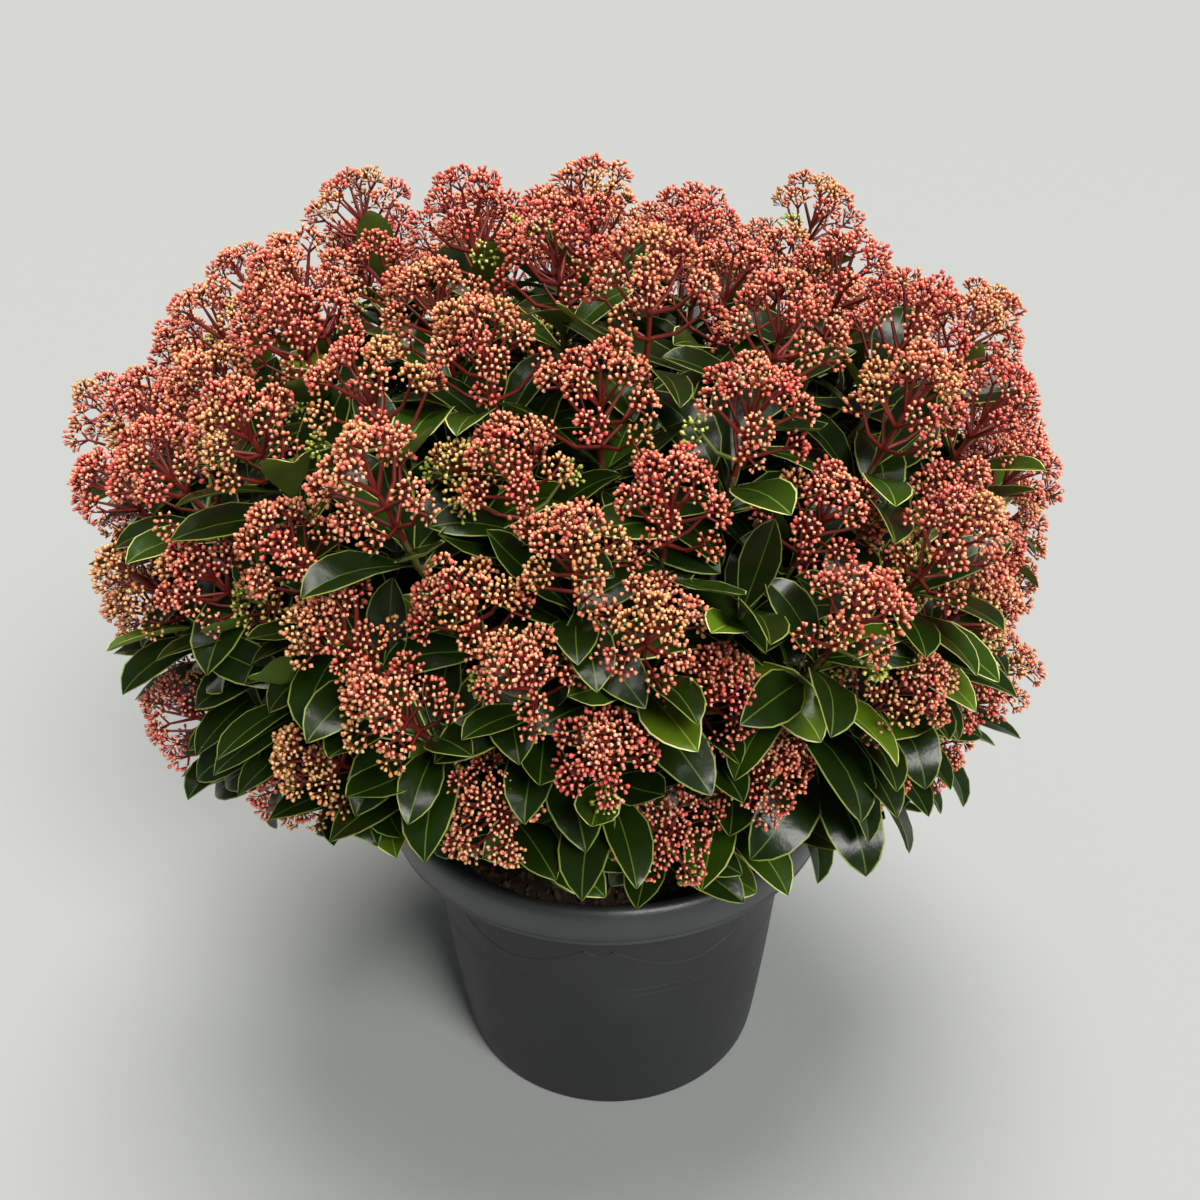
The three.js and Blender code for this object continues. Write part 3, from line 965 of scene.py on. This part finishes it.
def growLeaves(line, index, count, size):
    rand = random.Random(leaf["growSeed"] + index)
    axis = line["axis"]
    for k in range(count):
        share = k / (count - 1)
        root = line["foot"] - axis * (leaf["firstDrop"] + leaf["step"] * k)
        turn = dice(index, "leafTurn") * tau + k * goldenAngle
        lean = between(*leaf["lean"], share) + rand.uniform(-leaf["leanJitter"], leaf["leanJitter"])
        lean += leaf["leanOnTop"] * heightShare(line["foot"])
        scale = between(*leaf["size"], share) * rand.uniform(*leaf["sizeJitter"]) * size
        roll = radians(rand.uniform(-leaf["rollJitter"], leaf["rollJitter"]))
        tint = rand.choices(list(leaves), leaf["tintShares"])[0]
        form = rand.choice(leaf["upperForms"] if share < 0.5 else leaf["lowerForms"])
        bend = radians(leaf["forms"][form][0])
        best = placeLeaf(root, axis, turn, lean, roll, leaf["length"] * scale, bend)
        if best:
            room, along, face, new = best
            for key, value in new.items():
                grown[key][grown["count"]] = value
            grown["count"] += 1
            leaves[tint].append((root - along * leaf["rooted"], along, face, scale, form))


# Lines that limbs grow along: bark, twigs, stalks and the pot's garland

def lineMesh(name, lines):
    points, edges, radii = [], [], []
    for way, thickness in lines:
        edges += [(len(points) + i, len(points) + i + 1) for i in range(len(way) - 1)]
        points += way
        radii += thickness
    mesh = newMesh(name, points, edges)
    writeField(mesh, "thickness", radii)
    return mesh


def buildLimbs(name, lines, kind, finish):
    piece = runTree(name, lineMesh(f"{name}Lines", lines), limbSkin, {
        "Sides": kind["sides"], "Step": kind["step"], "Finish": finish,
    })
    print(name, len(piece.data.polygons))
    return piece


stalk = {"redTone": (124, 40, 32), "greenTone": (122, 138, 64), "roughness": 0.45, "sides": 3, "step": 0.012}
twig = {
    "tones": ((78, 82, 40), (120, 116, 64)),
    "roughness": 0.75,
    "tipRadius": 0.0015,
    "sides": 5,
    "step": 0.014,
}


def growTwig(line):  # from its mass's bough to its head
    thick, thin = crown["twigRadius"], twig["tipRadius"]
    start, bend, foot = line["start"], line["bend"], line["foot"]
    limbs["twig"].append((
        [start, start.lerp(bend, 0.85), bend.lerp(foot, 0.2), foot],
        [thick, (thick + thin) / 2, (thick + thin) / 2, thin],
    ))


# Stem and boughs: one skin with the bark's relief

bark = {
    "tones": ((74, 60, 44), (128, 108, 80)),
    "roughness": 0.75,
    # level over the soil, radius
    "footRadii": ((0, 0.018), (0.005, 0.0126), (0.013, 0.0099), (0.027, 0.009), (0.040, 0.012)),
    "lean": 0.005,
    "knobRadius": 0.017,
    "boughRadii": (0.003, 0.0025),
    "bow": 0.003,
    "sides": 16,
    "step": 0.003,
    "voxel": 0.0018,
    "relief": 0.0004,
    "plainFoot": 0.002,  # without relief, where it stands in the soil
    # waves to a metre
    "ridges": Vector((420, 420, 120)),
    "lumps": 110,
    "lumpShare": 1.5,
}


def boughLine(mass):
    start = heart + mass["facing"] * bark["knobRadius"] * 0.8
    bow = mass["facing"].cross(up).normalized() * scatter(mass["index"], "boughBow", bark["bow"])
    shares = (0, 0.35, 0.7, 1)
    points = [start.lerp(mass["boughEnd"], share) + bow * sin(share * pi) for share in shares]
    return points, [between(*bark["boughRadii"], share) for share in shares]


def buildBark():
    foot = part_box("stem")[0].z
    rise = heart.z - foot - bark["footRadii"][1][0]
    points = []
    for level, radius in bark["footRadii"]:
        share = max(level - bark["footRadii"][1][0], 0) / rise
        points.append(Vector((bark["lean"] * (1 - share), 0, foot + level)))
    lines = [(points, [radius for level, radius in bark["footRadii"]]), *map(boughLine, masses)]
    finish = newFinish("brownBark", "bark", bark["tones"], [bark["roughness"]])
    piece = buildLimbs("stemAndBoughs", lines, bark, finish)
    shape = bmesh.new()
    shape.from_mesh(piece.data)
    knob = Matrix.Translation(heart)
    bmesh.ops.create_icosphere(shape, subdivisions=3, radius=bark["knobRadius"], matrix=knob)
    shape.to_mesh(piece.data)
    shape.free()
    fuse = piece.modifiers.new("fuse", "REMESH")
    fuse.mode = "VOXEL"
    fuse.voxel_size = bark["voxel"]
    fuse.use_smooth_shade = True
    skin = settleMesh(piece)
    skin.materials.clear()
    skin.materials.append(finish)
    for vertex in skin.vertices:
        if vertex.co.z > foot + bark["plainFoot"]:
            ridges = noise.noise(vertex.co * bark["ridges"])
            lumps = noise.noise(vertex.co * bark["lumps"])
            vertex.co += vertex.normal * bark["relief"] * (ridges + lumps * bark["lumpShare"])
        vertex.co.z = max(vertex.co.z, foot)
    print("one skin of bark", len(skin.polygons))
    return piece


# Pot and soil

pot = {
    "wallTones": ((30, 32, 33), (38, 41, 41)),
    "wallRoughness": (0.40, 0.55),
    # the lip's tones are lighter and bluer than the wall's: painted light from above and painted sky
    # reflection; its satin gloss is real, in its roughness and sheen
    "lipTonesWithPaintedLight": ((45, 49, 51), (54, 58, 60)),
    "lipRoughness": (0.32, 0.44),
    "lipSheen": 0.7,
    "footRadius": 0.100,
    "shoulderRadius": 0.115,  # the wall's top, where it steps out under the lip
    "swell": 0.002,
    "wall": 0.003,
    "footRounding": 0.003,
    "sides": 160,
    # the lip, rounded at its top, with a thin crisp edge below
    "lipDepth": 0.023,
    "lipRise": 0.013,  # from its widest level to its top
    "lipBulge": 0.006,
    "lipInnerRadius": 0.130,
    "lipEdge": 0.0010,
    "lipEdgeShape": ((-2, 0), (0.3, 0), (0.7, 0.4), (0.5, 0.9), (0, 2)),  # out and up, to the edge's size
    "lipTuck": 0.8,  # how much of its curl it keeps below its widest level
    "lipInside": ((0.0014, -0.0003), (0.0004, -0.001), (0, -0.0025)),  # out and up, where it turns in
    "floorRise": 0.0005,
    "angle": 40,  # degrees past which a corner of the profile is crisp
    # garland moulded round the wall
    "swags": 6,
    "firstKnot": -3.8,  # degrees round from the front
    "knotLevel": 0.147,
    "knotThickness": 1.5,  # how much thicker a line ends at a knot
    "swagSag": 0.018,
    "knotHalfTurn": 4.25,
    "scallopSag": 0.003,
    "bandLevels": (0.1135, 0.1085),
    "bandThickness": 0.8,
    "lineRadius": 0.0006,
    "lineSunk": 0.0003,
}
garland = {"sides": 6, "step": 0.003}
lipFoot = potTop - pot["lipDepth"]


def wallRadius(level):
    share = clamp(level / lipFoot)
    return between(pot["footRadius"], pot["shoulderRadius"], share) + pot["swell"] * sin(share * pi)


def potProfile():  # from under its middle, out, up, over the lip and down inside
    rounding, wall = pot["footRounding"], pot["wall"]
    cornerRadius = pot["footRadius"] - rounding
    profile = [(0, 0), (pot["footRadius"] * 0.5, 0), (cornerRadius, 0)]
    for k in range(1, 6):
        turn = radians(18 * k)
        profile.append((cornerRadius + rounding * sin(turn), rounding * (1 - cos(turn))))
    for k in range(1, 19):
        level = rounding + (lipFoot - rounding) * k / 18
        profile.append((wallRadius(level), level))
    rise, bulge = pot["lipRise"], pot["lipBulge"]
    lowest = asin(1 - pot["lipDepth"] / rise)
    girth = lipRadius - bulge * (1 - cos(lowest)) * pot["lipTuck"]
    edge = pot["lipEdge"]
    profile += [(girth + edge * out, lipFoot + edge * above) for out, above in pot["lipEdgeShape"]]
    for k in range(3, 17):
        turn = lowest + (radians(84) - lowest) * k / 16
        tuck = pot["lipTuck"] if turn < 0 else 1
        girth = lipRadius - bulge * (1 - cos(turn)) * tuck
        profile.append((girth, potTop - rise + rise * sin(turn)))
    inner = pot["lipInnerRadius"]
    profile += [(inner + out, potTop + above) for out, above in pot["lipInside"]]
    ledge = lipFoot + wall
    profile += [(inner, ledge + 0.001), (inner - 0.001, ledge), (pot["shoulderRadius"] - wall, ledge)]
    floorLevel = wall + pot["floorRise"]
    for k in range(1, 9):
        level = ledge + (floorLevel - ledge) * k / 8
        profile.append((wallRadius(level) - wall, level))
    return profile + [(0, floorLevel)]


def lathe(name, profile, sides):
    points, rings, faces = [], [], []
    for radius, level in profile:
        count = sides if radius else 1
        rings.append([len(points) + k for k in range(count)])
        for k in range(count):
            turn = tau * k / count
            points.append((radius * cos(turn), radius * sin(turn), level))
    for low, high in zip(rings, rings[1:]):
        for k in range(sides):
            ends = ((low, k), (low, k + 1), (high, k + 1), (high, k))
            faces.append(tuple(dict.fromkeys(ring[spot % len(ring)] for ring, spot in ends)))
    mesh = newMesh(name, points, faces=faces)
    mesh.polygons.foreach_set("use_smooth", [True] * len(mesh.polygons))
    mesh.set_sharp_from_angle(angle=radians(pot["angle"]))
    return mesh


def onWall(turn, level):
    radius = wallRadius(level) - pot["lineSunk"]
    return Vector((radius * sin(turn), -radius * cos(turn), level))


def garlandLines():  # swags between double knots, a scallop inside each, two level bands
    step = tau / pot["swags"]
    half = radians(pot["knotHalfTurn"])
    lines = []

    def addLine(start, end, parts, level, sag, share):
        shares = [k / parts for k in range(parts + 1)]
        way = [onWall(between(start, end, s), level - sag * sin(s * pi)) for s in shares]
        thickness = [pot["lineRadius"] * share] * (parts + 1)
        if sag:
            thickness[0] = thickness[-1] = thickness[0] * pot["knotThickness"]
        lines.append((way, thickness))

    for s in range(pot["swags"]):
        knot = radians(pot["firstKnot"]) + s * step
        addLine(knot + half, knot + step - half, 20, pot["knotLevel"], pot["swagSag"], 1)
        addLine(knot - half, knot + half, 8, pot["knotLevel"], pot["scallopSag"], 1)
        for level in pot["bandLevels"]:
            addLine(knot, knot + step, 16, level, 0, pot["bandThickness"])
    return lines


def buildPot():
    plastic = newFinish("charcoalPlastic", "plastic", pot["wallTones"], pot["wallRoughness"])
    # the lip's finish: real satin gloss, with painted light and painted sky reflection in its lighter, bluer
    # tones
    lipFinishPaintedLight = newFinish("satinLipPaintedLight", "plastic", pot["lipTonesWithPaintedLight"], pot["lipRoughness"], pot["lipSheen"])
    mesh = lathe("pot", potProfile(), pot["sides"])
    mesh.materials.append(plastic)
    mesh.materials.append(lipFinishPaintedLight)
    # faces above the lip's foot and outside its inner edge take the lip's finish, whose lighter tones are
    # painted light
    lipFrom = pot["lipInnerRadius"] + 0.0005
    for face in mesh.polygons:
        face.material_index = int(face.center.z > lipFoot and face.center.xy.length > lipFrom)
    print("pot", len(mesh.polygons))
    return addObject("nurseryPot", mesh), buildLimbs("potGarland", garlandLines(), garland, plastic)


soil = {
    "bedTones": ((38, 28, 20), (66, 50, 36)),
    "crumbTones": ((58, 42, 30), (104, 80, 56)),
    "roughness": 0.95,
    "gap": 0.0006,  # inside the wall
    "foot": 0.0038,
    "rings": 22,
    "sides": 96,
    "unevenness": 0.0035,
    "density": 34000,  # crumbs to a square metre
    "steepest": 0.7,  # none where the bed's normal points up less than this
    "forms": 6,
    "crumb": (0.0007, 0.0026),
    "seed": 4,
}


def crumbMesh(k):
    shape = bmesh.new()
    bmesh.ops.create_icosphere(shape, subdivisions=1, radius=1)
    long = 1 + 1.6 * dice(k, "crumbLength")
    for vertex in shape.verts:
        vertex.co *= 0.75 + 0.5 * dice(vertex.index + 20 * k, "crumbLump")
        vertex.co.x *= long
        vertex.co.z *= 0.6
    return meshFrom(shape, f"crumb{k}")


def buildSoil():
    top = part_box("soil")[1].z
    inside = pot["wall"] + soil["gap"]
    edge = wallRadius(top) - inside
    foot = wallRadius(soil["foot"]) - inside
    profile = [(0, soil["foot"]), (foot, soil["foot"]), (edge, top - 0.001)]
    profile += [(edge * (1 - k / soil["rings"]), top) for k in range(1, soil["rings"] + 1)]
    profile[-1] = (0, top)
    mesh = lathe("soilBed", profile, soil["sides"])
    for vertex in mesh.vertices:
        if vertex.co.z > top - 0.0005:
            bumps = noise.noise(vertex.co * 60) + 0.6 * noise.noise(vertex.co * 210)
            vertex.co.z += soil["unevenness"] * bumps
    shapes = newShapes("crumbs", [crumbMesh(k) for k in range(soil["forms"])])
    smallest, largest = soil["crumb"]
    piece = runTree("pottingSoil", mesh, crumbTree(), {
        "Shapes": shapes, "Smallest": smallest, "Largest": largest, "Seed": soil["seed"],
        "Density": soil["density"], "Steepest": soil["steepest"],
        "Bed Finish": newFinish("darkEarth", "earth", soil["bedTones"], [soil["roughness"]]),
        "Crumb Finish": newFinish("crumbEarth", "earth", soil["crumbTones"], [soil["roughness"]]),
    })
    clearShapes(shapes)
    print("soil", len(piece.data.polygons))
    return piece


# Building and growing

buildStudio()
limbSkin = limbTree()
nurseryPot, potGarland = buildPot()
pottingSoil = buildSoil()
stemAndBoughs = buildBark()

shootLines = [settleShoot(shoot) for shoot in shoots]
for shoot, line in zip(shoots, shootLines):
    growTwig(line)
    index, foot = shoot["index"], line["foot"]
    if index < crown["shoots"]:
        leafyShare = heads["leafyShare"] * (1 - heightShare(foot))
        if foot.z <= heads["leafyFrom"] or dice(index, "leafyShoot") >= leafyShare:
            growHead(line, index, 1)
    elif dice(index, "fillerHead") < heads["fillerShare"]:
        growHead(line, index, heads["fillerSize"])

headMiddles = np.array([middle for middle, girth in headPlaces])
headGirths = np.array([girth for middle, girth in headPlaces]) * leaf["headRoom"]
for shoot, line in zip(shoots, shootLines):
    if shoot["index"] < crown["shoots"]:
        fewer = round(leaf["fewerOnTop"] * heightShare(line["foot"]))
        growLeaves(line, shoot["index"], leaf["perShoot"] - fewer, 1)
    else:
        growLeaves(line, shoot["index"], leaf["perFiller"], leaf["fillerSize"])

budPieces = dealPieces("Buds", bud, budMesh, budRow, buds)
leafPieces = dealPieces("Leaves", leaf, leafMesh, lambda i, *row: row, leaves)
redFinish = newFinish("redStalk", "stalk", [stalk["redTone"]], [stalk["roughness"]])
redStalks = buildLimbs("redStalks", limbs["red"], stalk, redFinish)
greenFinish = newFinish("limeStalk", "stalk", [stalk["greenTone"]], [stalk["roughness"]])
greenStalks = buildLimbs("greenStalks", limbs["green"], stalk, greenFinish)
twigFinish = newFinish("greenTwig", "bark", twig["tones"], [twig["roughness"]])
twigs = buildLimbs("twigs", limbs["twig"], twig, twigFinish)
foliage = [twigs, redStalks, greenStalks, *budPieces, *leafPieces]

massNodes = [f"mass_{m + 1:02d}" for m in range(crown["masses"])]
boughNodes = [f"bough_{m + 1:02d}" for m in range(crown["masses"])]
dressing = [
    (nurseryPot, "pot", ["pot"]),
    (potGarland, "pot", ["pot"]),
    (pottingSoil, "soil", ["soil"]),
    (stemAndBoughs, "bark", ["stem", *boughNodes]),
    *((piece, "foliage", massNodes) for piece in foliage),
]
for piece, slotName, nodes in dressing:
    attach(piece, "root")
    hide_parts(*nodes)

print("triangles", sum(len(p.data.loops) - 2 * len(p.data.polygons) for p, _, _ in dressing))
